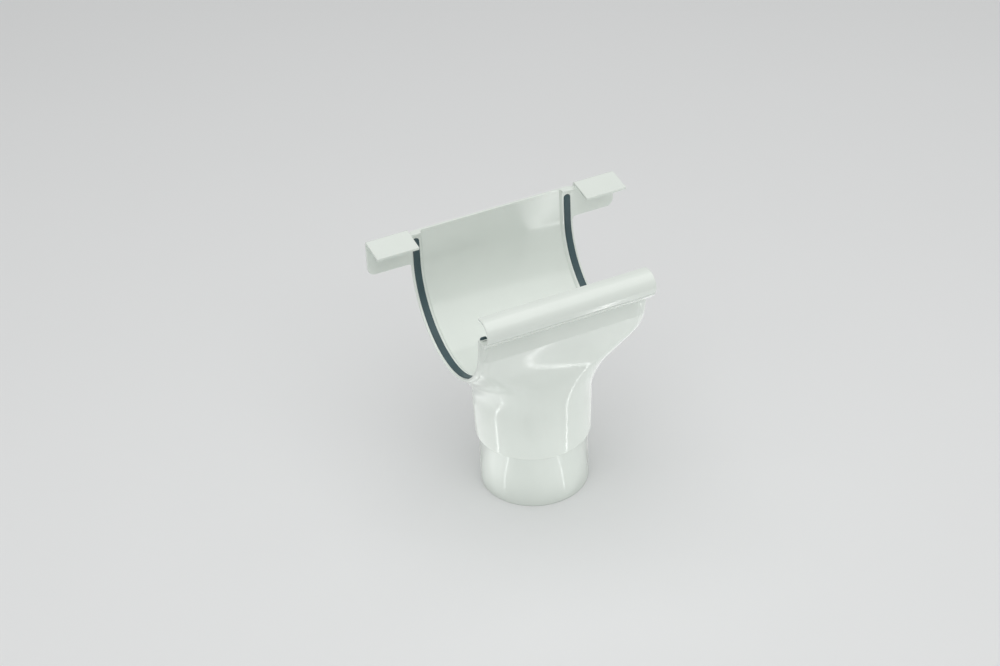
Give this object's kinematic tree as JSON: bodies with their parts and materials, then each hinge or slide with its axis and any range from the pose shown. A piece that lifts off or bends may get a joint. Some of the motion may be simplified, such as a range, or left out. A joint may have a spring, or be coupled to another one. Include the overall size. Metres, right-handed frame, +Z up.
{
  "type": "gutter outlet",
  "caption": "Half-round gutter running outlet with seal bands, rear hanging hooks, a rolled front bead and shoulders that drop into a round spigot.",
  "frame": {"origin": "centre of the spigot's lower end", "axes": "+X along the gutter, +Y towards the wall behind, +Z up"},
  "size_m": [0.1946, 0.1308, 0.2034],
  "materials": {
    "body_plastic": "glossy white moulded plastic",
    "seal_rubber": "matte dark slate"
  },
  "bodies": {
    "root": {"outlet_body": "body_plastic", "seal_left": "seal_rubber", "seal_right": "seal_rubber"}
  },
  "joints": []
}
